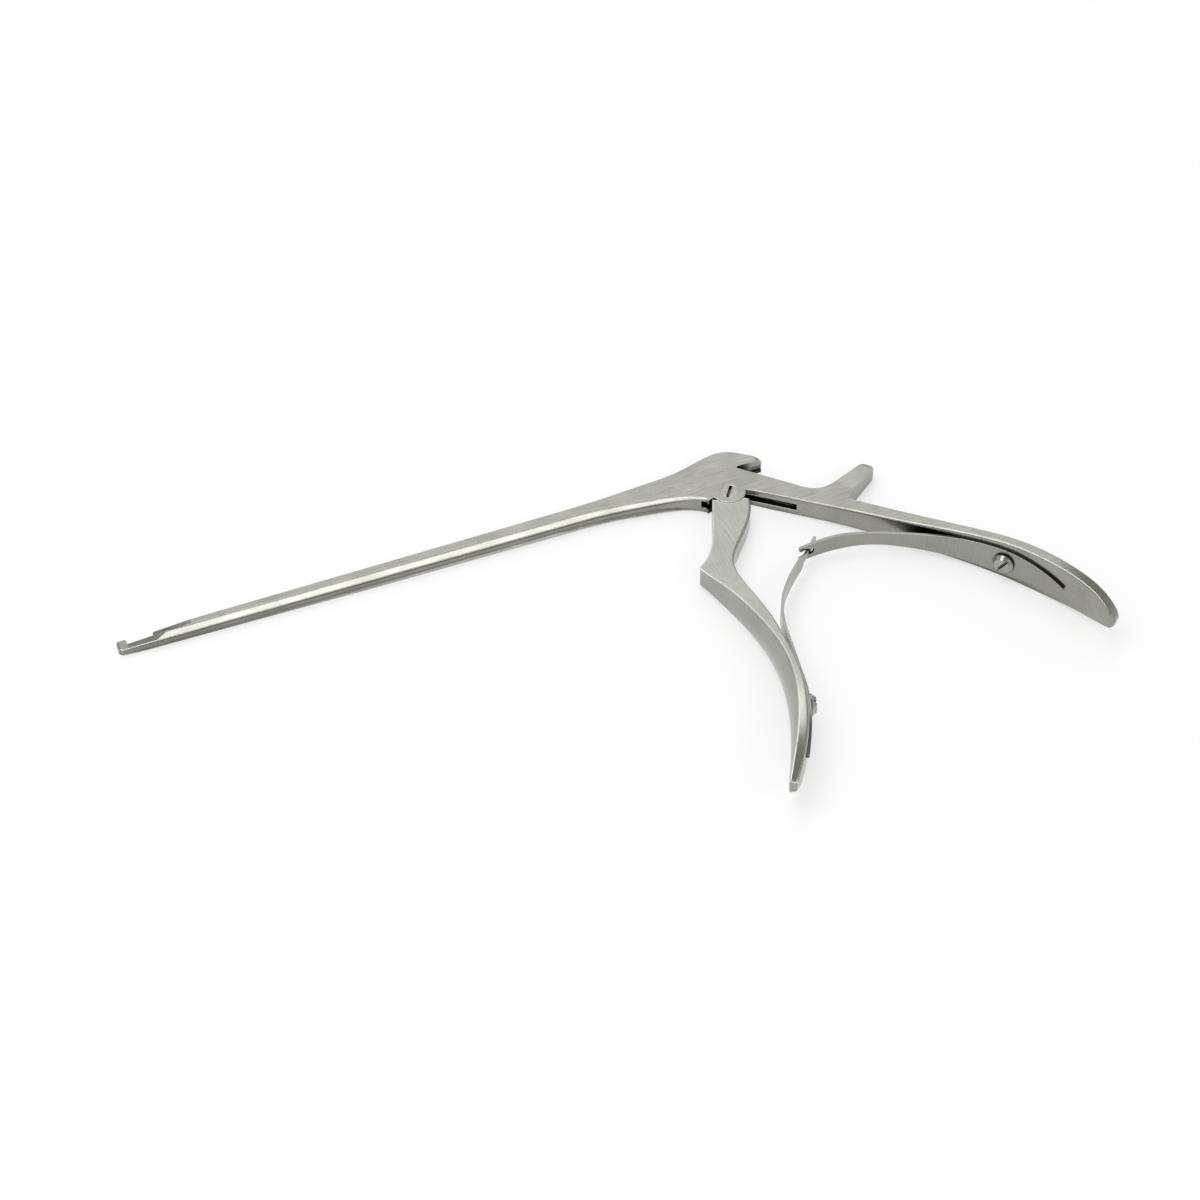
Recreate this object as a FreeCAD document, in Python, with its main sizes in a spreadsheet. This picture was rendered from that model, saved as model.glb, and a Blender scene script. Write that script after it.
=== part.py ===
import FreeCAD, Part
import math
import os

import Sketcher
from FreeCAD import Placement, Rotation, Vector

# Bone rongeur: a slide runs on a fixed base shaft and bites against an upturned footplate.
# Every piece is drawn about one middle plane, the XY plane of the side view.
# The pivot is the origin, the jaw points along -X and both handles hang towards -Y.
# The jaw is open, as the two leaf springs hold it.

document = FreeCAD.newDocument("BoneRongeur")

driving_sizes = {
    # fixed shaft and footplate
    "jaw_reach": 180.4,
    "footplate_length": 2.9,
    "footplate_width": 2.0,
    "footplate_height": 1.8,
    "toe_chamfer": 2.4,
    "bite_opening": 7.4,
    "parting_height": 8.6,
    "base_height": 2.6,
    "belly_depth": 0.9,
    "flank_lean": 0.3,
    "shaft_width": 3.7,
    "nose_taper": 11.0,
    # body between the shaft and the handles
    "body_width": 6.2,
    "flare_start": 46.0,
    "flare_end": 2.8,
    "body_top_end": 5.9,
    "boss_radius": 4.7,
    "shoulder_gap": 0.2,
    # rear handle, in a frame turned down about the pivot
    "rear_angle": 50.0,
    "rear_root": 34.3,
    "rear_length": 84.0,
    "rear_grip_width": 13.5,
    "grip_thickness": 3.1,
    "spur_rise": 31.2,
    "spur_thickness": 4.6,
    # front handle
    "front_reach": 108.8,
    "front_grip_width": 14.2,
    "elbow_reach": 20.4,
    "elbow_drop": 25.6,
    "elbow_thickness": 10.2,
    # drive: the tongue of the front handle moves the slide
    "squeeze_angle": 32.0,
    "tongue_thickness": 2.2,
    "tongue_clearance": 0.1,
    "hub_radius": 4.4,
    "drive_head_radius": 1.3,
    "drive_clearance": 0.1,
    "slot_front": 8.2,
    "slot_rear": 16.8,
    # slide
    "slide_nose_height": 2.0,
    "slide_rise": 1.7,
    "hump_height": 16.5,
    "beak_reach": 15.0,
    "beak_lift": 0.4,
    "slide_clearance": 0.05,
    "rail_neck": 0.9,
    "rail_foot": 1.7,
    "rail_depth": 1.1,
    "rail_setback": 9.0,
    "rail_length": 40.0,
    "cup_depth": 3.0,
    "cup_wall": 0.35,
    # pivot screw
    "pivot_radius": 1.5,
    "pivot_clearance": 0.03,
    "pivot_head_radius": 2.5,
    "pivot_head_height": 1.1,
    "pivot_slot_angle": 54.0,
    # leaf springs and their screws
    "leaf_thickness": 0.8,
    "leaf_clamp_width": 9.0,
    "leaf_end_width": 5.2,
    "fork_slot": 2.4,
    "fork_tongue": 2.0,
    "fork_depth": 5.0,
    "leaf_seat_gap": 0.02,
    "head_seat_gap": 0.14,
    "spring_screw_radius": 1.1,
    "spring_head_radius": 3.1,
    "spring_head_top_radius": 2.2,
    "spring_head_height": 1.8,
    "spring_screw_bite": 2.2,
    "screw_slot_width": 0.9,
    "screw_slot_depth": 0.8,
    # crowned face of the front grip, tapered spur and rounded edges
    "crown_radius": 11.8,
    "spur_tip_width": 3.8,
    "slide_round": 0.8,
    "inner_round": 0.5,
    "back_round": 0.8,
}

sheet = document.addObject("Spreadsheet::Sheet", "Sizes")
for row, (name, value) in enumerate(driving_sizes.items(), start=1):
    sheet.set(f"A{row}", name)
    sheet.set(f"B{row}", str(value))
    sheet.setAlias(f"B{row}", name)
document.recompute()


# A size keeps its value together with the sheet formula that gives it.
class Size:
    def __init__(self, value, formula):
        self.value = value
        self.formula = formula

    def __add__(self, other):
        return joined(self, "+", other, self.value + value_of(other))

    def __radd__(self, other):
        return joined(other, "+", self, value_of(other) + self.value)

    def __sub__(self, other):
        return joined(self, "-", other, self.value - value_of(other))

    def __rsub__(self, other):
        return joined(other, "-", self, value_of(other) - self.value)

    def __mul__(self, other):
        return joined(self, "*", other, self.value * value_of(other))

    def __rmul__(self, other):
        return joined(other, "*", self, value_of(other) * self.value)

    def __truediv__(self, other):
        return joined(self, "/", other, self.value / value_of(other))

    def __neg__(self):
        return joined(0, "-", self, -self.value)


def value_of(size):
    return size.value if isinstance(size, Size) else float(size)


def formula_of(size):
    return size.formula if isinstance(size, Size) else repr(float(size))


def joined(left, sign, right, value):
    return Size(value, f"({formula_of(left)} {sign} {formula_of(right)})")


def sine(angle):
    return Size(math.sin(math.radians(angle.value)), f"sin({angle.formula} * 1 deg)")


def cosine(angle):
    return Size(math.cos(math.radians(angle.value)), f"cos({angle.formula} * 1 deg)")


class Sizes:
    def __init__(self, names):
        for name in names:
            setattr(self, name, Size(float(sheet.get(name)), f"Sizes.{name}"))


size = Sizes(driving_sizes)


# Derived sizes that several pieces share

parting = size.parting_height
base_floor = parting - size.base_height
belly_floor = base_floor - size.belly_depth
footplate_top = parting + size.footplate_height
footplate_face = size.footplate_length - size.jaw_reach
slide_front = footplate_face + size.bite_opening
slide_nose_top = parting + size.slide_nose_height
slide_shoulder = slide_nose_top + size.slide_rise
half_squeeze = size.squeeze_angle / 2
drive_reach = size.bite_opening / (sine(half_squeeze) * 2)
drive_x = drive_reach * sine(half_squeeze)
drive_y = drive_reach * cosine(half_squeeze)
slot_width = size.tongue_thickness + size.tongue_clearance * 2
shoulder_radius = size.boss_radius + size.shoulder_gap


# Sketching

def vector(point):
    return Vector(value_of(point[0]), value_of(point[1]), 0)


def line(x, y):
    return ("line", (x, y))


# A positive radius keeps the centre on the left of the way drawn, a negative one on the right.
def arc(x, y, radius):
    return ("arc", (x, y), radius)


# A smooth curve through the points; leave and arrive are its directions at the two ends.
def curve(*points, leave=None, arrive=None):
    return ("curve", points, leave, arrive, False)


def arc_geometry(start, end, radius):
    chord = end - start
    middle = start + chord * 0.5
    side = Vector(-chord.y, chord.x, 0).normalize()
    reach = math.sqrt(max(radius * radius - chord.Length * chord.Length / 4, 0))
    centre = middle + side * (reach if radius > 0 else -reach)
    first, last = (start, end) if radius > 0 else (end, start)
    angles = [math.atan2(p.y - centre.y, p.x - centre.x) for p in (first, last)]
    circle = Part.Circle(centre, Vector(0, 0, 1), abs(radius))
    return Part.ArcOfCircle(circle, angles[0], angles[1])


# A curve drawn backwards is the forward one turned round, so mirrored flanks match exactly.
def spline(points, leave=None, arrive=None, backwards=False):
    shape = Part.BSplineCurve()
    if backwards:
        points = points[::-1]
    if leave and arrive:
        shape.interpolate(Points=points, InitialTangent=Vector(*leave), FinalTangent=Vector(*arrive))
    else:
        shape.interpolate(Points=points)
    if backwards:
        shape.reverse()
    return shape


def bind(sketch, kind, geometry, end, size_value):
    index = sketch.addConstraint(Sketcher.Constraint(kind, geometry, end, value_of(size_value)))
    if isinstance(size_value, Size):
        sketch.setExpression(f"Constraints[{index}]", size_value.formula)


# Draws one closed outline, and pins each of its corners to the sheet.
def draw(sketch, start, *steps):
    here = start
    pieces = []
    for step in steps:
        if step[0] == "line":
            end = step[1]
            shape = Part.LineSegment(vector(here), vector(end))
            entry, leaving = 1, 2
        elif step[0] == "arc":
            end = step[1]
            shape = arc_geometry(vector(here), vector(end), value_of(step[2]))
            entry, leaving = (1, 2) if value_of(step[2]) > 0 else (2, 1)
        else:
            end = step[1][-1]
            points = [vector(point) for point in (here,) + tuple(step[1])]
            shape = spline(points, *step[2:])
            entry, leaving = 1, 2
        index = sketch.addGeometry(shape, False)
        bind(sketch, "DistanceX", index, entry, here[0])
        bind(sketch, "DistanceY", index, entry, here[1])
        pieces.append((index, entry, leaving))
        here = end
    for before, after in zip(pieces, pieces[1:] + pieces[:1]):
        sketch.addConstraint(Sketcher.Constraint("Coincident", before[0], before[2], after[0], after[1]))


def draw_circle(sketch, x, y, radius):
    centre = vector((x, y))
    index = sketch.addGeometry(Part.Circle(centre, Vector(0, 0, 1), value_of(radius)), False)
    centre_point = 3
    bind(sketch, "DistanceX", index, centre_point, x)
    bind(sketch, "DistanceY", index, centre_point, y)
    radius_index = sketch.addConstraint(Sketcher.Constraint("Radius", index, value_of(radius)))
    if isinstance(radius, Size):
        sketch.setExpression(f"Constraints[{radius_index}]", radius.formula)


def new_body(label):
    body = document.addObject("PartDesign::Body", label.title().replace("_", ""))
    body.Label = label
    return body


# The offset turns and moves the sketch from the origin plane that it lies on.
def new_sketch(body, name, plane="XY_Plane", offset=Placement()):
    sketch = body.newObject("Sketcher::SketchObject", name)
    support = [feature for feature in body.Origin.OriginFeatures if feature.Role == plane][0]
    sketch.AttachmentSupport = [(support, "")]
    sketch.MapMode = "FlatFace"
    sketch.AttachmentOffset = offset
    return sketch


# Adds or removes material, evenly on both sides of the sketch unless told otherwise.
def extrude(body, kind, sketch, name, width, sides="Symmetric", reverse=False):
    feature = body.newObject(f"PartDesign::{kind}", name)
    feature.Profile = sketch
    feature.SideType = sides
    feature.Reversed = reverse
    feature.Length = value_of(width)
    if isinstance(width, Size):
        feature.setExpression("Length", width.formula)
    sketch.Visibility = False
    document.recompute()
    return feature


def side_pad(body, name, width, start, *steps):
    sketch = new_sketch(body, f"{name}Outline")
    draw(sketch, start, *steps)
    return extrude(body, "Pad", sketch, name, width)


def side_pocket(body, name, width, start, *steps):
    sketch = new_sketch(body, f"{name}Outline")
    draw(sketch, start, *steps)
    return extrude(body, "Pocket", sketch, name, width)


# Cuts away a shape that passes through several sections, straight or smooth between them.
def loft_away(body, name, sections, straight):
    loft = body.newObject("PartDesign::SubtractiveLoft", name)
    loft.Profile = sections[0]
    loft.Sections = sections[1:]
    loft.Ruled = straight
    for sketch in sections:
        sketch.Visibility = False
    document.recompute()


# Rounds every edge whose points all lie where they are wanted.
def round_edges(body, name, radius, wanted):
    base = body.Tip
    names = []
    for number, edge in enumerate(base.Shape.Edges, start=1):
        if all(wanted(point) for point in edge.discretize(5)):
            names.append(f"Edge{number}")
    fillet = body.newObject("PartDesign::Fillet", name)
    fillet.Base = (base, names)
    fillet.Radius = value_of(radius)
    fillet.setExpression("Radius", radius.formula)
    document.recompute()
    return fillet


# Flanks: half of a piece's outline seen square to the side view, from its root to its tip

def end_of(step):
    return step[1][-1] if step[0] == "curve" else step[1]


def mirrored(step):
    if step[0] == "curve":
        points = [(x, -y) for x, y in step[1]]
        leave = step[2] and (step[2][0], -step[2][1], 0)
        arrive = step[3] and (step[3][0], -step[3][1], 0)
        return ("curve", points, leave, arrive, step[4])
    if step[0] == "arc":
        return ("arc", (step[1][0], -step[1][1]), -step[2])
    return ("line", (step[1][0], -step[1][1]))


def turned_back(step, previous):
    if step[0] == "curve":
        points = list(reversed(step[1][:-1])) + [previous]
        return ("curve", points, step[2], step[3], not step[4])
    if step[0] == "arc":
        return ("arc", previous, -step[2])
    return ("line", previous)


# Cuts away all that lies outside the flank and its mirror image.
def trim_to_flank(body, name, sketch, start, flank, beyond, outer, width):
    corners = [start] + [end_of(step) for step in flank]
    lower = [mirrored(step) for step in flank]
    upper = [turned_back(step, corner) for step, corner in zip(flank[::-1], corners[-2::-1])]
    draw(
        sketch,
        (start[0], outer),
        line(beyond, outer),
        line(beyond, -outer),
        line(start[0], -outer),
        line(start[0], -start[1]),
        *lower,
        *upper,
        line(start[0], outer),
    )
    return extrude(body, "Pocket", sketch, name, width)


# Handle shapes. A station is a share of the grip's length, a place and some spare thickness.

rear_grip_stations = [(0.0, 13.4, 1.6), (0.2, 14.8, 0.8), (0.38, 15.9, 0.0), (0.57, 16.5, 0.0),
                      (0.72, 15.1, 0.1), (0.87, 11.9, 0.2)]
front_grip_stations = [(0.115, -18.2, 3.8), (0.3, -15.1, 1.7), (0.45, -14.9, 0.8), (0.6, -17.0, 1.6),
                       (0.78, -22.2, 2.1), (0.9, -27.0, 1.5)]


def rear_point(along, rise):
    x = along * cosine(size.rear_angle) + rise * sine(size.rear_angle)
    y = rise * cosine(size.rear_angle) - along * sine(size.rear_angle)
    return (x, y)


def rear_along(share):
    return size.rear_root + size.rear_length * share


def rear_outer_points():
    return [rear_point(rear_along(share), rise) for share, rise, spare in rear_grip_stations]


def rear_inner_points():
    drop = [(share, rise - spare - size.grip_thickness) for share, rise, spare in rear_grip_stations]
    return [rear_point(24.0, 6.9)] + [rear_point(rear_along(share), rise) for share, rise in drop]


def rear_tip_points():
    return rear_point(rear_along(0.99), 6.9), rear_point(rear_along(0.96), 4.5)


def front_point(share, x):
    return (x, -(size.elbow_drop + (size.front_reach - size.elbow_drop) * share))


def front_face_points():
    return [front_point(share, x) for share, x, spare in front_grip_stations]


def front_back_points():
    thick = size.grip_thickness
    grip = [front_point(share, x + spare + thick) for share, x, spare in front_grip_stations]
    neck = [(2.4, -9.7), (-5.2, -19.6), (size.elbow_thickness - size.elbow_reach, -size.elbow_drop - 0.8)]
    return neck + grip


def front_tip_points():
    return front_point(0.965, -30.4), front_point(0.992, -28.2)


def rear_inner_curve():
    return spline([vector(point) for point in rear_inner_points() + [rear_tip_points()[1]]])


# Runs up from the end of the grip, so that the open side is on its right, as on the rear handle.
def front_back_curve():
    corner = (4.3, -5.2)
    points = [corner] + front_back_points() + [front_tip_points()[1]]
    return spline([vector(point) for point in points[::-1]], backwards=True)


# A point of the handle's face, moved out by the gap, and the direction out of the face there
def on_face(handle_curve, near, gap=0):
    parameter = handle_curve.parameter(near)
    along = handle_curve.tangent(parameter)[0]
    out = Vector(along.y, -along.x, 0)
    return handle_curve.value(parameter) + out * gap, out


def seat_on(handle_curve, near):
    foot, out = on_face(handle_curve, Vector(*near, 0))
    return Placement(foot, Rotation(Vector(0, 0, 1), out))


rear_seat = seat_on(rear_inner_curve(), (62.9, -52.4))
front_seat = seat_on(front_back_curve(), (-13.9, -82.4))


# Frame: footplate, base shaft, body, rear handle and spur, forged in one piece

# The body narrows forward from the cheeks to the shaft. Stations are places and shares of that step.
flare_stations = [(-6.0, 0.76), (-10.5, 0.44), (-18.0, 0.17), (-30.0, 0.04)]


def flare_half(share):
    return size.shaft_width / 2 + (size.body_width - size.shaft_width) / 2 * share


def body_flare():
    stations = [(x, flare_half(share)) for x, share in flare_stations]
    return curve(*stations, (-size.flare_start, flare_half(0)), leave=(-1, 0, 0), arrive=(-1, 0, 0))


def shaft_flank():
    blunt = size.footplate_width / 2
    half = size.shaft_width / 2
    taper_end = footplate_face + size.nose_taper
    return (20.0, size.body_width / 2), [
        line(-size.flare_end, size.body_width / 2),
        body_flare(),
        line(taper_end, half),
        line(footplate_face, blunt),
        line(-size.jaw_reach + 0.5, blunt),
        arc(-size.jaw_reach, blunt - 0.5, 0.5),
        line(-size.jaw_reach, 0),
    ]


def rear_flank():
    half = size.rear_grip_width / 2
    tip = rear_along(0.99) - 0.3
    return (11.0, size.body_width / 2), [
        line(20.0, size.body_width / 2),
        curve(
            (rear_along(0.37), half * 0.79),
            (rear_along(0.66), half),
            (rear_along(0.84), half * 0.87),
            (rear_along(0.945), half * 0.55),
            (tip, 0),
            leave=(1, 0, 0),
            arrive=(0, -1, 0),
        ),
    ]


def build_frame():
    body = new_body("frame")
    outer_tip, inner_tip = rear_tip_points()
    toe = belly_floor + size.toe_chamfer
    front = -size.jaw_reach
    boss = size.boss_radius
    side_pad(
        body, "Blank", size.rear_grip_width,
        (front, toe),
        line(front, footplate_top - 0.8),
        arc(front + 0.8, footplate_top, -0.8),
        line(footplate_face - 0.4, footplate_top),
        arc(footplate_face, footplate_top - 0.4, -0.4),
        line(footplate_face, parting),
        line(size.body_top_end, parting),
        line(*rear_point(16.5, 11.7)),
        curve(rear_point(22.0, 13.2), rear_point(25.2, 18.0)),
        line(*rear_point(28.1, size.spur_rise - 2.3)),
        arc(*rear_point(28.1 + size.spur_thickness, size.spur_rise - 2.3), size.spur_thickness * -0.51),
        line(*rear_point(31.2, 16.2)),
        curve(rear_point(32.0, 14.0), rear_outer_points()[0]),
        curve(*rear_outer_points()[1:], outer_tip),
        arc(*inner_tip, -1.8),
        curve(*reversed(rear_inner_points())),
        line(*rear_point(5.9, 3.6)),
        line(boss * 0.98, -0.95),
        arc(boss * -0.891, boss * -0.454, -boss),
        line(-5.0, -0.4),
        line(-7.6, -1.0),
        curve(
            (-11.5, belly_floor - 3.6),
            (-20.0, belly_floor - 2.05),
            (-33.0, belly_floor - 0.35),
            (-size.flare_start, belly_floor),
            leave=(-0.6, 0.8, 0),
            arrive=(-1, 0, 0),
        ),
        line(front + size.toe_chamfer + 0.5, belly_floor),
        line(front, toe),
    )
    plan = new_sketch(body, "PlanOutline", "XZ_Plane")
    trim_to_flank(body, "PlanTrim", plan, *shaft_flank(), front - 5, 10, 80)
    round_belly(body)
    turned = Placement(Vector(), Rotation(Vector(0, 1, 0), -size.rear_angle.value))
    grip = new_sketch(body, "GripOutline", "XZ_Plane", turned)
    trim_to_flank(body, "GripTrim", grip, *rear_flank(), rear_along(1.0) + 8, 10, 120)
    taper_spur(body)
    round_edges(body, "InnerRounding", size.inner_round, on_rear_inner_edge)
    cut_tongue_slot(body)
    cut_rail_groove(body)
    bore_for_pivot(body)
    bore_for_spring_screw(body, rear_seat)
    return body


# The two edges between the handle's inner face and its sides
def on_rear_inner_edge(point):
    inner = rear_inner_curve()
    foot = inner.value(inner.parameter(Vector(point.x, point.y, 0)))
    from_face = (foot - Vector(point.x, point.y, 0)).Length
    return point.x > 21.0 and from_face < 0.05 and abs(point.z) > 2.5


# The spur thins towards its rounded end, seen along the rear handle.
def taper_spur(body):
    root = 15.0
    half = size.body_width / 2
    end = size.spur_tip_width / 2
    tip = size.spur_rise + 0.6
    rising = Vector(*[value_of(part) for part in rear_point(0, 1)])
    along = Vector(*[value_of(part) for part in rear_point(1, 0)])
    place = Placement(along * 28.0, Rotation(rising, Vector(0, 0, 1), along, "ZXY"))
    sketch = new_sketch(body, "SpurOutline", "XY_Plane", place)
    flank = [
        curve((18.5, half), (tip - 4.0, end * 1.15), (tip - 1.1, end * 0.75), (tip, 0),
              leave=(1, -0.2, 0), arrive=(0, -1, 0)),
    ]
    trim_to_flank(body, "SpurTaper", sketch, (root, half + 0.6), flank, size.spur_rise + 6, 10, 22)


# All that lies outside the base's section: flanks that lean in below, and a round belly.
def belly_section(body, name, x, half, flank_top, crease, floor, lean):
    place = Placement(Vector(0, 0, value_of(x)), Rotation())
    sketch = new_sketch(body, name, "YZ_Plane", place)
    if isinstance(x, Size):
        sketch.setExpression("AttachmentOffset.Base.z", x.formula)
    edge = half - lean
    depth = crease - floor
    radius = (edge * edge + depth * depth) / (depth * 2)
    beyond = 7.0
    draw(
        sketch,
        (floor - 2, -beyond),
        line(flank_top, -beyond),
        line(flank_top, -half),
        line(crease, -edge),
        arc(crease, edge, radius),
        line(flank_top, half),
        line(flank_top, beyond),
        line(floor - 2, beyond),
        line(floor - 2, -beyond),
    )
    return sketch


# The lean runs out towards the cheeks, where the body is wider and deeper.
def round_belly(body):
    front = -size.jaw_reach - 1
    lean = size.flank_lean
    half = flare_half(0)
    skin = 0.04
    floor = belly_floor + skin
    shaft = (half, parting - 0.4, base_floor, floor, lean)
    sketch = belly_section(body, "ShaftBellySection", front, *shaft)
    before_flare = -size.flare_start - 20
    extrude(body, "Pocket", sketch, "ShaftBelly", before_flare - front, "One side", True)
    sections = [
        belly_section(body, "BellySection1", before_flare, *shaft),
        belly_section(body, "BellySection2", before_flare + 10, *shaft),
        belly_section(body, "BellySection3", -size.flare_start, *shaft),
        belly_section(body, "BellySection4", -33.0, flare_half(0.04), parting - 1.1, base_floor - 0.45, floor - 0.35,
                      lean * 0.95),
        belly_section(body, "BellySection5", -20.0, flare_half(0.16), parting - 2.8, base_floor - 2.1, floor - 2.05,
                      lean * 0.8),
        belly_section(body, "BellySection6", -11.5, flare_half(0.42), parting - 5.1, base_floor - 3.9, floor - 3.6,
                      lean * 0.7),
        belly_section(body, "BellySection7", -7.0, flare_half(0.72), 0.9, -0.4, -1.1, lean * 0.6),
    ]
    loft_away(body, "BodyBelly", sections, False)


# The slot takes the tongue of the front handle and opens into the parting face.
def cut_tongue_slot(body):
    side_pocket(
        body, "TongueSlot", slot_width,
        (-size.slot_front, -8.0),
        line(size.slot_rear, -16.0),
        line(size.slot_rear, -8.6),
        line(5.4, 2.0),
        line(4.9, parting + 1),
        line(-6.2, parting + 1),
        line(-size.slot_front, 3.0),
        line(-size.slot_front, -8.0),
    )


def rail_section(sketch, spare):
    neck = size.rail_neck / 2 + spare
    foot = size.rail_foot / 2 + spare
    floor = parting - size.rail_depth - spare
    waist = parting - size.rail_depth / 2 + spare
    top = parting + 0.5
    draw(
        sketch,
        (top, neck),
        line(waist, neck),
        line(waist, foot),
        line(floor, foot),
        line(floor, -foot),
        line(waist, -foot),
        line(waist, -neck),
        line(top, -neck),
        line(top, neck),
    )


# The T groove starts just ahead of where the rail stops when the jaw is closed.
def cut_rail_groove(body):
    start = footplate_face + size.rail_setback - 0.6
    place = Placement(Vector(0, 0, start.value), Rotation())
    sketch = new_sketch(body, "RailGrooveSection", "YZ_Plane", place)
    sketch.setExpression("AttachmentOffset.Base.z", start.formula)
    rail_section(sketch, size.slide_clearance)
    extrude(body, "Pocket", sketch, "RailGroove", -start - size.slot_front + 0.5, "One side", True)


def bore_for_pivot(body):
    sketch = new_sketch(body, "PivotBoreOutline")
    draw_circle(sketch, 0, 0, size.pivot_radius + size.pivot_clearance)
    extrude(body, "Pocket", sketch, "PivotBore", size.body_width + 2)
    seat = size.body_width / 2 - size.pivot_head_height
    sketch = new_sketch(body, "HeadSeatOutline", "XY_Plane", Placement(Vector(0, 0, seat.value), Rotation()))
    sketch.setExpression("AttachmentOffset.Base.z", seat.formula)
    draw_circle(sketch, 0, 0, size.pivot_head_radius + size.pivot_clearance)
    extrude(body, "Pocket", sketch, "HeadSeat", size.pivot_head_height + 1, "One side", True)


def bore_for_spring_screw(body, seat):
    sketch = new_sketch(body, "SpringScrewBore", "XY_Plane", seat)
    draw_circle(sketch, 0, 0, size.spring_screw_radius + size.leaf_seat_gap)
    extrude(body, "Pocket", sketch, "SpringScrewHole", size.spring_screw_bite + 0.1, "One side")


# Slide: the upper shaft with its cutting nose, hump and beak

def slide_back_points():
    hump = size.hump_height
    return [(-30.0, slide_shoulder + 0.65), (-18.0, slide_shoulder + 1.3), (-6.0, hump - 1.6), (2.6, hump),
            (7.6, hump - 1.3)]


def build_slide():
    body = new_body("slide")
    floor = parting + size.slide_clearance
    side_pad(
        body, "Blank", size.body_width,
        (slide_front, floor),
        line(slide_front, floor + size.slide_nose_height * 0.45),
        arc(slide_front + 1.3, slide_nose_top, -1.4),
        line(-size.flare_start, slide_shoulder),
        curve(*slide_back_points(), leave=(1, 0.03, 0), arrive=(0.79, -0.61, 0)),
        line(size.beak_reach - 1.1, floor + size.beak_lift + 1.3),
        arc(size.beak_reach - 0.6, floor + size.beak_lift, -0.9),
        line(size.body_top_end + 0.8, floor + size.beak_lift),
        line(size.body_top_end + 0.4, floor),
        line(slide_front, floor),
    )
    trim_slide(body)
    round_back(body)
    cut_drive_slot(body)
    add_rails(body)
    hollow_cup(body)
    return body


# All that lies outside the slide's rounded back at one place along it
def back_section(body, name, x, half, top, rounding):
    place = Placement(Vector(0, 0, value_of(x)), Rotation())
    sketch = new_sketch(body, name, "YZ_Plane", place)
    if isinstance(x, Size):
        sketch.setExpression("AttachmentOffset.Base.z", x.formula)
    spare = 0.03
    beyond = 7.0
    draw(
        sketch,
        (top + 2, -beyond),
        line(top - rounding, -beyond),
        line(top - rounding, -half - spare),
        arc(top + spare, rounding - half, rounding + spare),
        line(top + spare, half - rounding),
        arc(top - rounding, half + spare, rounding + spare),
        line(top - rounding, beyond),
        line(top + 2, beyond),
        line(top + 2, -beyond),
    )
    return sketch


# The rounding of the back grows along the shaft and fades again over the hump.
def round_back(body):
    full = size.slide_round
    shaft = flare_half(0)
    nose = size.footplate_width / 2
    slope = (slide_shoulder - slide_nose_top) / (-size.flare_start - slide_front - 1.3)
    taper_end = slide_nose_top + slope * (size.nose_taper - 1.3)
    before_flare = -size.flare_start - 12
    front = [
        back_section(body, "BackSection1", slide_front, nose, slide_nose_top - slope * 1.3, full * 0.5),
        back_section(body, "BackSection2", slide_front + size.nose_taper, shaft, taper_end, full * 0.8),
        back_section(body, "BackSection3", before_flare, shaft, slide_shoulder - slope * 12, full),
    ]
    loft_away(body, "ShaftBack", front, True)
    rear = [
        back_section(body, "BackSection4", before_flare, shaft, slide_shoulder - slope * 12, full),
        back_section(body, "BackSection5", -size.flare_start, shaft, slide_shoulder, full),
    ]
    shares = [(0.04, 0.95), (0.17, 0.8), (0.76, 0.6), (1.0, 0.45), (1.0, 0.35)]
    for number, (point, (share, part)) in enumerate(zip(slide_back_points(), shares), start=6):
        rear.append(back_section(body, f"BackSection{number}", point[0], flare_half(share), point[1], full * part))
    loft_away(body, "BodyBack", rear, False)


def trim_slide(body):
    half = size.shaft_width / 2
    back = size.body_width / 2
    nose = size.footplate_width / 2
    plan = new_sketch(body, "PlanOutline", "XZ_Plane")
    flank = [
        line(-size.flare_end, back),
        body_flare(),
        line(slide_front + size.nose_taper, half),
        line(slide_front, nose),
        line(slide_front, 0),
    ]
    trim_to_flank(body, "PlanTrim", plan, (size.beak_reach + 1, back), flank, slide_front - 5, 10, 80)
    beak = new_sketch(body, "BeakOutline", "XZ_Plane")
    corner = [line(size.beak_reach - 2.8, back), arc(size.beak_reach, back - 2.4, -3.0), line(size.beak_reach, 0)]
    trim_to_flank(body, "BeakTrim", beak, (7.0, back), corner, size.beak_reach + 5, 10, 80)


# The head of the tongue fills the upper part of this slot, and its arm swings in the open lower part.
def cut_drive_slot(body):
    reach = size.drive_head_radius + size.drive_clearance
    waist = drive_y - size.drive_head_radius / 2
    roof = drive_reach + reach
    side_pocket(
        body, "DriveSlot", slot_width,
        (-0.7, parting - 1),
        line(drive_x - reach, waist),
        line(drive_x - reach, roof),
        line(drive_x + reach, roof),
        line(drive_x + reach, waist),
        line(drive_x + reach + 1.8, parting + 1.7),
        line(drive_x + reach + 1.8, parting + 0.9),
        line(size.beak_reach + 2, parting + 0.9),
        line(size.beak_reach + 2, parting - 1),
        line(-0.7, parting - 1),
    )


# Two T rails hang under the slide, one behind the nose and one ahead of the drive slot.
def add_rails(body):
    front = slide_front + size.rail_setback
    rear = -size.slot_front - size.bite_opening - size.rail_length
    for name, start in (("FrontRail", front), ("RearRail", rear)):
        place = Placement(Vector(0, 0, start.value), Rotation())
        sketch = new_sketch(body, f"{name}Section", "YZ_Plane", place)
        sketch.setExpression("AttachmentOffset.Base.z", start.formula)
        rail_section(sketch, 0)
        extrude(body, "Pad", sketch, name, size.rail_length, "One side")


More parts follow.
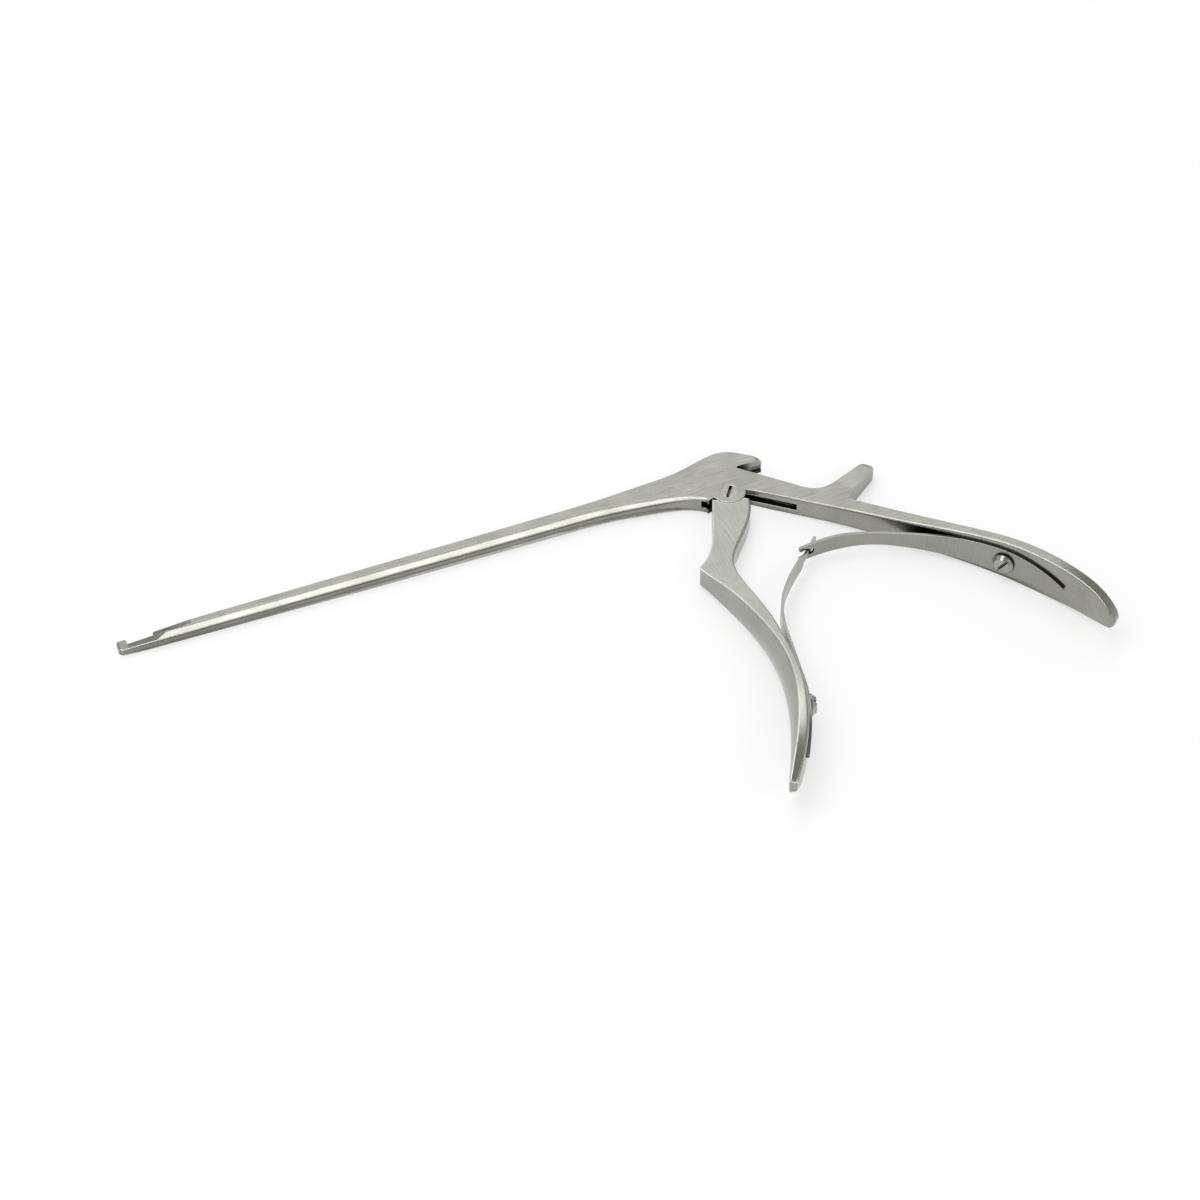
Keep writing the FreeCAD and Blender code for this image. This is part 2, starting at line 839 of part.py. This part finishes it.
def hollow_cup(body):
    wide = size.footplate_width / 2 - size.cup_wall
    low = parting + size.slide_clearance
    top = low + size.slide_nose_height - size.cup_wall * 2
    place = Placement(Vector(0, 0, slide_front.value), Rotation())
    sketch = new_sketch(body, "CupOutline", "YZ_Plane", place)
    sketch.setExpression("AttachmentOffset.Base.z", slide_front.formula)
    draw(
        sketch,
        (low - 0.2, -wide),
        line(top - wide, -wide),
        arc(top - wide, wide, -wide * 1.001),
        line(low - 0.2, wide),
        line(low - 0.2, -wide),
    )
    extrude(body, "Pocket", sketch, "Cup", size.cup_depth, "One side", True)


# Front handle: grip, neck and the tongue that turns on the pivot and drives the slide

def front_flank():
    half = size.front_grip_width / 2
    tip = size.front_reach + 0.4
    root = size.body_width / 2
    shares = [(0.125, 0.57), (0.293, 0.72), (0.45, 0.89), (0.63, 1.0), (0.786, 0.9), (0.906, 0.68),
              (0.972, 0.4)]
    sides = [(front_point(share, 0)[1], half * part) for share, part in shares]
    return (6.0, root), [
        line(-size.elbow_drop, root),
        curve(*sides, (-tip, 0), leave=(-1, 0, 0), arrive=(0, -1, 0)),
    ]


def build_front_handle():
    body = new_body("front_handle")
    back_tip = front_tip_points()[1]
    face_tip = front_tip_points()[0]
    elbow = (-size.elbow_reach, -size.elbow_drop)
    side_pad(
        body, "Blank", size.front_grip_width + 1,
        (-5.9, -1.4),
        line(shoulder_radius * -0.883, shoulder_radius * -0.4695),
        arc(shoulder_radius * 0.5736, shoulder_radius * -0.8192, shoulder_radius),
        line(4.3, -5.2),
        curve(*front_back_points(), back_tip),
        arc(*face_tip, -1.8),
        curve(*front_face_points()[::-1], (elbow[0], elbow[1] - 1.6)),
        arc(elbow[0] + 1.3, elbow[1] + 0.9, -1.8),
        curve((-12.9, -17.3), (-10.3, -11.8), (-5.9, -1.4)),
    )
    plan = new_sketch(body, "GripOutline", "YZ_Plane")
    trim_to_flank(body, "GripTrim", plan, *front_flank(), -size.front_reach - 8, 10, 120)
    crown_face(body)
    round_edges(body, "BackRounding", size.back_round, on_front_back_edge)
    add_tongue(body)
    sketch = new_sketch(body, "PivotBoreOutline")
    draw_circle(sketch, 0, 0, size.pivot_radius + size.pivot_clearance)
    extrude(body, "Pocket", sketch, "PivotBore", size.body_width)
    bore_for_spring_screw(body, front_seat)
    return body


# The two edges between the back of the grip and its sides, below the neck
def on_front_back_edge(point):
    back = front_back_curve()
    foot = back.value(back.parameter(Vector(point.x, point.y, 0)))
    from_back = (foot - Vector(point.x, point.y, 0)).Length
    return point.y < -5.0 and from_back < 0.05 and abs(point.z) > 2.0


# The face of the grip is convex across: a hollow profile runs down along it and takes off both sides.
def crown_face(body):
    points = [(-24.4, -16.5)] + front_face_points() + [front_point(1.02, -32.2), front_point(1.11, -36.0)]
    path = new_sketch(body, "CrownPath")
    path.addGeometry(spline([vector(point) for point in points]), False)
    start = vector(points[0])
    along = spline([vector(point) for point in points]).tangent(0)[0]
    inward = Vector(-along.y, along.x, 0)
    place = Placement(start, Rotation(inward, Vector(0, 0, 1), Vector(), "XYZ"))
    sketch = new_sketch(body, "CrownSection", "XY_Plane", place)
    side = size.front_grip_width / 2 + 1
    radius = size.crown_radius
    depth = radius.value - math.sqrt(radius.value ** 2 - side.value ** 2)
    draw(
        sketch,
        (-1.5, -side),
        line(depth, -side),
        arc(0, 0, -radius),
        arc(depth, side, -radius),
        line(-1.5, side),
        line(-1.5, -side),
    )
    crown = body.newObject("PartDesign::SubtractivePipe", "Crown")
    crown.Profile = sketch
    crown.Spine = path
    crown.Mode = "Binormal"
    crown.Binormal = Vector(0, 0, 1)
    sketch.Visibility = False
    path.Visibility = False
    document.recompute()


def add_tongue(body):
    width = size.tongue_thickness
    hub = size.hub_radius
    sketch = new_sketch(body, "HubOutline")
    draw_circle(sketch, 0, 0, hub)
    extrude(body, "Pad", sketch, "Hub", width)
    side_pad(
        body, "Web", width,
        (-hub, 0),
        line(hub, 0),
        line(3.4, -7.5),
        line(-7.4, -7.5),
        line(-hub, 0),
    )
    across = (cosine(half_squeeze), -sine(half_squeeze))
    root = 2.3
    waist = size.drive_head_radius * 0.8
    side_pad(
        body, "Arm", width,
        (across[0] * -root, across[1] * -root),
        line(drive_x - across[0] * waist, drive_y - across[1] * waist),
        line(drive_x + across[0] * waist, drive_y + across[1] * waist),
        line(across[0] * root, across[1] * root),
        line(across[0] * -root, across[1] * -root),
    )
    sketch = new_sketch(body, "DriveHeadOutline")
    draw_circle(sketch, drive_x, drive_y, size.drive_head_radius)
    extrude(body, "Pad", sketch, "DriveHead", width)


# Screws

def turned(body, name, profile):
    sketch = new_sketch(body, f"{name}Profile", "XZ_Plane")
    draw(sketch, *profile)
    feature = body.newObject("PartDesign::Revolution", name)
    feature.Profile = sketch
    feature.ReferenceAxis = (sketch, ["V_Axis"])
    feature.Angle = 360
    sketch.Visibility = False
    document.recompute()


def cut_driver_slot(body, top, reach, angle):
    floor = top - size.screw_slot_depth
    place = Placement(Vector(0, 0, floor.value), Rotation(Vector(0, 0, 1), angle))
    sketch = new_sketch(body, "DriverSlotOutline", "XY_Plane", place)
    sketch.setExpression("AttachmentOffset.Base.z", floor.formula)
    half = size.screw_slot_width / 2
    draw(
        sketch,
        (-reach - 1, -half),
        line(reach + 1, -half),
        line(reach + 1, half),
        line(-reach - 1, half),
        line(-reach - 1, -half),
    )
    extrude(body, "Pocket", sketch, "DriverSlot", size.screw_slot_depth + 1, "One side", True)


def build_pivot_screw():
    body = new_body("pivot_screw")
    top = size.body_width / 2
    under_head = top - size.pivot_head_height + size.pivot_clearance
    turned(body, "Screw", [
        (0, -top),
        line(size.pivot_radius, -top),
        line(size.pivot_radius, under_head),
        line(size.pivot_head_radius, under_head),
        line(size.pivot_head_radius, top),
        line(0, top),
        line(0, -top),
    ])
    cut_driver_slot(body, top, size.pivot_head_radius, size.pivot_slot_angle.value)
    return body


def build_spring_screw(label, seat):
    body = new_body(label)
    under_head = size.leaf_thickness + size.leaf_seat_gap + size.head_seat_gap
    top = under_head + size.spring_head_height
    rim = under_head + size.spring_head_height * 0.35
    turned(body, "Screw", [
        (0, -size.spring_screw_bite),
        line(size.spring_screw_radius, -size.spring_screw_bite),
        line(size.spring_screw_radius, under_head),
        line(size.spring_head_radius, under_head),
        line(size.spring_head_radius, rim),
        line(size.spring_head_top_radius, top),
        line(0, top),
        line(0, -size.spring_screw_bite),
    ])
    cut_driver_slot(body, top, size.spring_head_radius, 5)
    body.Placement = seat
    return body


# Leaf springs

def beside(points, distance):
    shape = spline(points)
    moved = []
    for point in points:
        along = shape.tangent(shape.parameter(point))[0]
        moved.append(point + Vector(along.y, -along.x, 0) * distance)
    return moved


def pairs(points):
    return [(point.x, point.y) for point in points]


def leaf_blank(body, near_side, width):
    thickness = size.leaf_thickness.value
    far_side = beside(near_side, thickness)
    side_pad(
        body, "Blank", width,
        pairs(near_side)[0],
        curve(*pairs(near_side)[1:]),
        line(*pairs(far_side)[-1]),
        curve(*pairs(far_side)[-2::-1]),
        line(*pairs(near_side)[0]),
    )


def cut_leaf_hole(body, seat):
    sketch = new_sketch(body, "ScrewHoleOutline", "XY_Plane", seat)
    draw_circle(sketch, 0, 0, size.spring_screw_radius + size.leaf_seat_gap)
    extrude(body, "Pocket", sketch, "ScrewHole", size.leaf_thickness * 4)


# The part of a leaf that lies on its handle follows the handle's own curve.
def clamped(handle_curve, start, end, count=7):
    first, last = (handle_curve.parameter(Vector(*place, 0)) for place in (start, end))
    shares = [step / (count - 1) for step in range(count)]
    places = [handle_curve.value(first + (last - first) * share) for share in shares]
    return [on_face(handle_curve, place, size.leaf_seat_gap.value)[0] for place in places]


def free(*points):
    return [Vector(x, y, 0) for x, y in points]


# The rear leaf ends in a fork, and lies against the rear handle from its screw to its point.
def build_rear_leaf():
    body = new_body("rear_leaf_spring")
    arch = free((9.0, -28.3), (14.3, -27.6), (23.2, -27.8), (32.9, -30.6), (41.8, -35.3))
    held = clamped(rear_inner_curve(), (55.0, -44.5), (71.6, -69.5))
    leaf_blank(body, arch + held, size.leaf_clamp_width)
    end = size.leaf_end_width / 2
    clamp = size.leaf_clamp_width / 2
    turned_down = Placement(Vector(), Rotation(Vector(0, 1, 0), -45))
    plan = new_sketch(body, "PlanOutline", "XZ_Plane", turned_down)
    flank = [
        line(36.0, end),
        curve((60.0, end * 1.2), (74.0, clamp * 0.95), (82.0, clamp), (91.0, clamp * 0.75), (100.2, 0)),
    ]
    trim_to_flank(body, "PlanTrim", plan, (20.0, end), flank, 110, 10, 120)
    cut_leaf_hole(body, rear_seat)
    sketch = new_sketch(body, "ForkOutline", "XZ_Plane")
    half = size.fork_slot / 2
    inner_end = 9.0 + size.fork_depth
    draw(
        sketch,
        (4.0, -half),
        line(inner_end - half, -half),
        arc(inner_end - half, half, half * 1.001),
        line(4.0, half),
        line(4.0, -half),
    )
    extrude(body, "Pocket", sketch, "Fork", 80)
    return body


# The front leaf narrows to a tongue that reaches through the fork.
def build_front_leaf():
    body = new_body("front_leaf_spring")
    held = clamped(front_back_curve(), (-21.9, -99.0), (-12.2, -75.0))
    bow = free((-9.6, -62.5), (-6.3, -49.5), (-1.4, -41.0), (6.3, -33.0), (15.6, -24.2))
    leaf_blank(body, held + bow, size.leaf_clamp_width)
    end = size.leaf_end_width / 2
    clamp = size.leaf_clamp_width / 2
    tongue = size.fork_tongue / 2
    plan = new_sketch(body, "PlanOutline", "YZ_Plane")
    flank = [
        line(-31.0, tongue),
        line(-32.2, end),
        curve((-48.0, end * 1.05), (-66.0, clamp * 0.8), (-82.5, clamp), (-92.0, clamp * 0.8), (-100.6, 0)),
    ]
    trim_to_flank(body, "PlanTrim", plan, (-18.0, tongue), flank, -112, 10, 120)
    cut_leaf_hole(body, front_seat)
    return body


# Writing the pieces

def check_state():
    for item in document.Objects:
        if "Invalid" in item.State or "Error" in item.State:
            raise RuntimeError(f"{item.Name} did not build: {item.State}")


def write_pieces(bodies):
    os.makedirs("parts", exist_ok=True)
    for body in bodies:
        if body.Shape.isNull() or not body.Shape.isValid() or len(body.Shape.Solids) != 1:
            raise RuntimeError(f"{body.Label} is not one sound solid")
        body.Shape.exportStep(f"parts/{body.Label}.step")


# The origin of the whole part is the middle of its underside.
def stand_on_origin(bodies):
    box = FreeCAD.BoundBox()
    for body in bodies:
        box.add(body.Shape.optimalBoundingBox())
    shift = Placement(Vector(-box.Center.x, -box.Center.y, -box.ZMin), Rotation())
    for body in bodies:
        body.Placement = shift * body.Placement
    document.recompute()


pieces = [
    build_frame(),
    build_slide(),
    build_front_handle(),
    build_pivot_screw(),
    build_rear_leaf(),
    build_front_leaf(),
    build_spring_screw("rear_spring_screw", rear_seat),
    build_spring_screw("front_spring_screw", front_seat),
]
check_state()
stand_on_origin(pieces)
write_pieces(pieces)
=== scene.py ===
import math

import bpy
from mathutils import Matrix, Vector


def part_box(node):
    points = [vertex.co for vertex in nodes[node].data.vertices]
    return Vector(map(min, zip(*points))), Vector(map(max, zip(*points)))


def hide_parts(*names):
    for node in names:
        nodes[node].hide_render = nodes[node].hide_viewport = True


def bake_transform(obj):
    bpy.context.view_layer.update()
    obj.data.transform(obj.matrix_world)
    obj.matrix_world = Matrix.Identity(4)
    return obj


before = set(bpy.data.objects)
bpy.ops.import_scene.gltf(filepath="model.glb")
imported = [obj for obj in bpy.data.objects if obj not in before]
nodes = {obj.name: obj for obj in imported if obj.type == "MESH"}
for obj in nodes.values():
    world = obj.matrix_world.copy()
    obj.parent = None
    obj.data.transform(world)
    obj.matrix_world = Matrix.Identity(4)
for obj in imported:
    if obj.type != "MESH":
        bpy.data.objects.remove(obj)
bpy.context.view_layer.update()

scene = bpy.context.scene
print("frame loaded")


# the middle of the pivot screw, which the camera, lamps and floor are placed from, in mm

screwLow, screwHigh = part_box("pivot_screw")
pivot = (screwLow + screwHigh) / 2


def besidePivot(x, y, z):
    return pivot + Vector((x, y, z)) / 1000


# camera

cameraSettings = {
    "place": (-275.6, -573.6, 594.0),   # mm from the pivot
    "looks": (0.2683, 0.6542, -0.7071),
    "view": 22.62,   # degrees across the picture
}


def addCamera(settings):
    data = bpy.data.cameras.new("photoCamera")
    data.angle = math.radians(settings["view"])
    data.clip_start = 0.01
    data.clip_end = 20
    camera = bpy.data.objects.new("photoCamera", data)
    scene.collection.objects.link(camera)
    camera.location = besidePivot(*settings["place"])
    camera.rotation_mode = "QUATERNION"
    camera.rotation_quaternion = Vector(settings["looks"]).to_track_quat("-Z", "Y")
    scene.camera = camera


# shader helpers

def newMaterial(name):
    material = bpy.data.materials.new(name)
    material.use_nodes = True
    tree = material.node_tree
    shader = tree.nodes["Principled BSDF"]
    return material, tree, shader


# noise fixed to the piece; a small stretch along an axis draws it out into streaks that way

def objectNoise(tree, scale, detail=4.0, stretch=(1, 1, 1), turn=0.0):
    place = tree.nodes.new("ShaderNodeTexCoord")
    mapping = tree.nodes.new("ShaderNodeMapping")
    mapping.inputs["Rotation"].default_value = (0, 0, math.radians(turn))
    mapping.inputs["Scale"].default_value = stretch
    noise = tree.nodes.new("ShaderNodeTexNoise")
    noise.inputs["Scale"].default_value = scale
    noise.inputs["Detail"].default_value = detail
    tree.links.new(place.outputs["Object"], mapping.inputs["Vector"])
    tree.links.new(mapping.outputs["Vector"], noise.inputs["Vector"])
    return noise.outputs["Fac"]


def ramp(tree, factor, low, high, lowColour, highColour):
    node = tree.nodes.new("ShaderNodeValToRGB")
    node.color_ramp.elements[0].position = low
    node.color_ramp.elements[0].color = (*lowColour, 1)
    node.color_ramp.elements[1].position = high
    node.color_ramp.elements[1].color = (*highColour, 1)
    tree.links.new(factor, node.inputs["Fac"])
    return node.outputs["Color"]


def remap(tree, factor, low, high, fromLow=0.0, fromHigh=1.0):
    node = tree.nodes.new("ShaderNodeMapRange")
    node.inputs["From Min"].default_value = fromLow
    node.inputs["From Max"].default_value = fromHigh
    node.inputs["To Min"].default_value = low
    node.inputs["To Max"].default_value = high
    tree.links.new(factor, node.inputs["Value"])
    return node.outputs["Result"]


def mixColour(tree, kind, factor, first, second):
    node = tree.nodes.new("ShaderNodeMixRGB")
    node.blend_type = kind
    for value, socket in ((factor, "Fac"), (first, "Color1"), (second, "Color2")):
        if isinstance(value, bpy.types.NodeSocket):
            tree.links.new(value, node.inputs[socket])
        else:
            node.inputs[socket].default_value = value
    return node.outputs["Color"]


def addValues(tree, first, second):
    node = tree.nodes.new("ShaderNodeMath")
    node.operation = "ADD"
    node.use_clamp = True
    for value, socket in ((first, 0), (second, 1)):
        if isinstance(value, bpy.types.NodeSocket):
            tree.links.new(value, node.inputs[socket])
        else:
            node.inputs[socket].default_value = value
    return node.outputs["Value"]


# The bevel node's normal rounds a sharp edge. Where it leaves the true normal there is an edge,
# and flatEnough is how near the two have to lie for a spot to count as flat.

bevelSamples = 6
shadeSamples = 8
flatEnough = 0.995


def roundedNormal(tree, radius):
    node = tree.nodes.new("ShaderNodeBevel")
    node.samples = bevelSamples
    node.inputs["Radius"].default_value = radius
    return node.outputs["Normal"]


def edgeMask(tree, rounded, reach):
    geometry = tree.nodes.new("ShaderNodeNewGeometry")
    along = tree.nodes.new("ShaderNodeVectorMath")
    along.operation = "DOT_PRODUCT"
    tree.links.new(rounded, along.inputs[0])
    tree.links.new(geometry.outputs["Normal"], along.inputs[1])
    return remap(tree, along.outputs["Value"], 1.0, 0.0, 1.0 - reach, flatEnough)


# painted shade: the ambient occlusion finds slots, creases, corners and steel close to other
# parts
def paintedShadeMask(tree, distance):
    node = tree.nodes.new("ShaderNodeAmbientOcclusion")
    node.samples = shadeSamples
    node.inputs["Distance"].default_value = distance
    return node.outputs["AO"]


def bump(tree, shader, height, strength, distance, rounded):
    node = tree.nodes.new("ShaderNodeBump")
    node.inputs["Strength"].default_value = strength
    node.inputs["Distance"].default_value = distance
    tree.links.new(height, node.inputs["Height"])
    tree.links.new(rounded, node.inputs["Normal"])
    tree.links.new(node.outputs["Normal"], shader.inputs["Normal"])


# Ground steel: fine polishing streaks along the piece, cloudy patches in tone and gloss, edges
# painted lighter (partly wear, partly painted highlight) and painted shade, near black, in
# corners, slots and creases.

groundLook = {
    "cloudScale": 110,
    "cloudShare": 0.4,   # of the tone, the rest is streaks
    "toneFrom": 0.36,
    "toneTo": 0.64,
    # colour of the painted shade in slots, creases and corners
    "corner": (0.02, 0.02, 0.018),
    "patchScale": 190,
    "streakGloss": (-0.05, 0.05),
    "wornGloss": (0.0, 0.12),
}


def steelTone(tree, streaks, wearAndHighlight, settings):
    cloud = objectNoise(tree, groundLook["cloudScale"], 5.0)
    blended = mixColour(tree, "MIX", groundLook["cloudShare"], streaks, cloud)
    tone = ramp(tree, blended, groundLook["toneFrom"], groundLook["toneTo"],
                settings["dark"], settings["light"])
    # painted highlight along the rounded edges, partly also wear: the edges get a lighter colour
    tone = mixColour(tree, "MIX", wearAndHighlight, tone, (*settings["wearAndHighlight"], 1))
    # painted shade: the colour darkens towards near black where other surfaces lie close by
    exposed = remap(tree, paintedShadeMask(tree, settings["shadeReach"]), 0.0, 1.0, *settings["open"])
    shade = ramp(tree, exposed, 0.0, 1.0, groundLook["corner"], (1, 1, 1))
    return mixColour(tree, "MULTIPLY", 1.0, tone, shade)


def steelGloss(tree, streaks, wearAndHighlight, settings):
    patches = objectNoise(tree, groundLook["patchScale"], 4.0)
    gloss = remap(tree, patches, *settings["gloss"])
    gloss = addValues(tree, gloss, remap(tree, streaks, *groundLook["streakGloss"]))
    return addValues(tree, gloss, remap(tree, wearAndHighlight, *groundLook["wornGloss"]))


def makeSteel(name, settings):
    material, tree, shader = newMaterial(name)
    streaks = objectNoise(tree, settings["streaks"], 4.0, settings["stretch"], settings["turn"])
    rounded = roundedNormal(tree, settings["edge"])
    wearAndHighlight = edgeMask(tree, rounded, settings["edgeReach"])
    tree.links.new(steelTone(tree, streaks, wearAndHighlight, settings), shader.inputs["Base Color"])
    tree.links.new(steelGloss(tree, streaks, wearAndHighlight, settings), shader.inputs["Roughness"])
    shader.inputs["Metallic"].default_value = 1.0
    grain = objectNoise(tree, settings["grain"], 2.0, settings["stretch"], settings["turn"])
    bump(tree, shader, grain, settings["grainStrength"], settings["grainDepth"], rounded)
    return material


shaftSteel = {   # frame and slide, ground lengthwise
    "dark": (0.27, 0.271, 0.239),
    "light": (0.375, 0.376, 0.332),
    # lighter edge colour: partly wear, partly painted highlight
    "wearAndHighlight": (0.72, 0.72, 0.67),
    "gloss": (0.17, 0.25),
    "streaks": 3600,
    "stretch": (0.03, 1, 1),
    "turn": 0.0,
    "grain": 2600,
    "grainDepth": 0.00001,
    "grainStrength": 0.2,
    "edge": 0.0005,
    "edgeReach": 0.1,
    # reach and range of the painted shade
    "shadeReach": 0.003,
    "open": (0.25, 0.88),
}

slideSteel = dict(shaftSteel)   # darker under the beak behind the hump: painted shade
slideSteel["shadeReach"] = 0.004
slideSteel["open"] = (0.62, 0.985)
slideSteel["edge"] = 0.0004

gripSteel = dict(shaftSteel)   # front handle, ground up and down
gripSteel["stretch"] = (1, 0.03, 1)
gripSteel["turn"] = -14.0
gripSteel["edge"] = 0.0006
gripSteel["dark"] = (0.31, 0.312, 0.276)
gripSteel["light"] = (0.39, 0.392, 0.35)
# near-white painted highlight along the grip's ridge and edges, partly wear
gripSteel["wearAndHighlight"] = (0.92, 0.92, 0.88)
gripSteel["edgeReach"] = 0.03

springSteel = dict(shaftSteel)   # rolled strip
springSteel["dark"] = (0.28, 0.282, 0.246)
springSteel["light"] = (0.335, 0.337, 0.294)
springSteel["stretch"] = (1, 1, 0.08)
springSteel["edge"] = 0.00015

screwSteel = dict(shaftSteel)
screwSteel["light"] = (0.42, 0.42, 0.37)
# painted shade in the screw slots and around the heads
screwSteel["shadeReach"] = 0.0015
screwSteel["stretch"] = (1, 1, 1)
screwSteel["streaks"] = 500
screwSteel["edge"] = 0.00018
screwSteel["open"] = (0.45, 0.85)

steel = makeSteel("groundSteel", shaftSteel)
slide = makeSteel("slideSteel", slideSteel)
grip = makeSteel("gripSteel", gripSteel)
spring = makeSteel("springSteel", springSteel)
screw = makeSteel("screwSteel", screwSteel)
print("steel finishes made")


# leaf springs: the CAD leaves, cut across in short lengths

leafSettings = {
    "rear_leaf_spring": {
        "name": "rearLeaf",
        "bodies": ("frame", "front_handle"),
        "clamp": (54.0, -45.0, 0),   # mm from the pivot
        "fork": (11.5, -28.0, 0),
    },
    "front_leaf_spring": {
        "name": "frontLeaf",
        "bodies": ("front_handle", "frame"),
        "clamp": (-11.0, -72.0, 0),
        "fork": (11.5, -28.0, 0),
    },
}
leafCuts = 26
joinWithin = 0.000001
flatWithin = math.radians(0.2)
smoothBelow = math.radians(35)


def addLeaf(node, settings, material):
    bpy.ops.object.select_all(action="DESELECT")
    leaf = bpy.data.objects.new(settings["name"], nodes[node].data.copy())
    scene.collection.objects.link(leaf)
    bpy.context.view_layer.objects.active = leaf
    leaf.select_set(True)
    bpy.ops.mesh.customdata_custom_splitnormals_clear()
    clamp = besidePivot(*settings["clamp"])
    fork = besidePivot(*settings["fork"])
    bpy.ops.object.mode_set(mode="EDIT")
    bpy.ops.mesh.select_all(action="SELECT")
    bpy.ops.mesh.remove_doubles(threshold=joinWithin)
    bpy.ops.mesh.dissolve_limited(angle_limit=flatWithin)
    for step in range(leafCuts):
        bpy.ops.mesh.select_all(action="SELECT")
        place = clamp.lerp(fork, step / (leafCuts - 1))
        bpy.ops.mesh.bisect(plane_co=place, plane_no=(fork - clamp).normalized())
    bpy.ops.mesh.select_all(action="SELECT")
    bpy.ops.mesh.normals_make_consistent(inside=False)
    bpy.ops.object.mode_set(mode="OBJECT")
    bpy.ops.object.shade_smooth_by_angle(angle=smoothBelow)
    leaf.data.materials.clear()
    leaf.data.materials.append(material)
    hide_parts(node)
    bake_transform(leaf)


for node, settings in leafSettings.items():
    addLeaf(node, settings, spring)

finishes = {
    "frame": steel,
    "slide": slide,
    "front_handle": grip,
    "pivot_screw": screw,
    "rear_spring_screw": screw,
    "front_spring_screw": screw,
}
for name, material in finishes.items():
    mesh = nodes[name].data
    mesh.materials.clear()
    mesh.materials.append(material)
print("finishes on the nodes")


# floor and light

floorSettings = {
    "size": 6.0,
    "slopeX": -0.0055,   # the instrument rests on both grips and on the shaft's tip
    "slopeY": 0.0627,
    "under": (-15.5, -75.0, -7.15),   # just below the lowest grip
    "roughness": 0.8,
    "colour": (0.97, 0.97, 0.97),
    "glow": 0.62,
}


def addFloor(settings):
    bpy.ops.object.select_all(action="DESELECT")
    normal = Vector((-settings["slopeX"], -settings["slopeY"], 1)).normalized()
    under = besidePivot(*settings["under"])
    bpy.ops.mesh.primitive_plane_add(size=settings["size"], location=under)
    floor = bpy.context.object
    floor.name = "floor"
    floor.rotation_mode = "QUATERNION"
    floor.rotation_quaternion = normal.to_track_quat("Z", "Y")
    material, tree, shader = newMaterial("paleFloor")
    shader.inputs["Base Color"].default_value = (*settings["colour"], 1)
    shader.inputs["Roughness"].default_value = settings["roughness"]
    rays = tree.nodes.new("ShaderNodeLightPath")   # white where it is seen, also in the steel
    seen = addValues(tree, rays.outputs["Is Camera Ray"], rays.outputs["Is Glossy Ray"])
    seen = addValues(tree, seen, rays.outputs["Is Transmission Ray"])
    white = tree.nodes.new("ShaderNodeEmission")
    white.inputs["Color"].default_value = (1, 1, 1, 1)
    blend = tree.nodes.new("ShaderNodeMixShader")
    output = tree.nodes["Material Output"]
    tree.links.new(remap(tree, seen, 0.0, settings["glow"]), blend.inputs["Fac"])
    tree.links.new(shader.outputs["BSDF"], blend.inputs[1])
    tree.links.new(white.outputs["Emission"], blend.inputs[2])
    tree.links.new(blend.outputs["Shader"], output.inputs["Surface"])
    floor.data.materials.append(material)


# lamps: places in mm from the pivot, sizes in m; a level one hangs flat, the rest face the pivot

lampSettings = {
    "backSoftbox": {"place": (455, 1080, 1040), "size": (0.95, 1.4), "power": 3.5},
    "frontStrip": {"place": (560, -1075, 950), "size": (0.9, 0.3), "power": 1.9},
    "backStrip": {"place": (150, 640, 1180), "size": (0.6, 0.3), "power": 1.35, "level": True},
    "leftStrip": {"place": (-520, 150, 1180), "size": (1.0, 1.0), "power": 8.0, "level": True},
}


def addLamp(name, settings):
    data = bpy.data.lights.new(name, "AREA")
    data.shape = "RECTANGLE"
    data.size, data.size_y = settings["size"]
    data.energy = settings["power"]
    lamp = bpy.data.objects.new(name, data)
    scene.collection.objects.link(lamp)
    lamp.location = besidePivot(*settings["place"])
    if not settings.get("level"):
        lamp.rotation_mode = "QUATERNION"
        lamp.rotation_quaternion = (pivot - lamp.location).to_track_quat("-Z", "Y")


# the room is pale above the dim horizon and dimmer again overhead

roomSettings = {
    "horizon": (0.72, 0.72, 0.72),
    "low": (0.8, 0.8, 0.78),
    "high": (0.41, 0.41, 0.41),
    "horizonBand": (0.02, 0.22),   # as shares of straight up
    "walls": (0.3, 0.75),
}


def lightWorld(settings):
    world = bpy.data.worlds.new("softStudio")
    scene.world = world
    world.use_nodes = True
    tree = world.node_tree
    place = tree.nodes.new("ShaderNodeTexCoord")
    split = tree.nodes.new("ShaderNodeSeparateXYZ")
    tree.links.new(place.outputs["Generated"], split.inputs["Vector"])
    height = split.outputs["Z"]
    tone = ramp(tree, height, *settings["walls"], settings["low"], settings["high"])
    dim = ramp(tree, height, *settings["horizonBand"], settings["horizon"], (1, 1, 1))
    tone = mixColour(tree, "MULTIPLY", 1.0, tone, dim)
    tree.links.new(tone, tree.nodes["Background"].inputs["Color"])


addFloor(floorSettings)
for name, settings in lampSettings.items():
    addLamp(name, settings)
lightWorld(roomSettings)
addCamera(cameraSettings)
scene.view_settings.view_transform = "Standard"
print("stage, lamps and camera set")
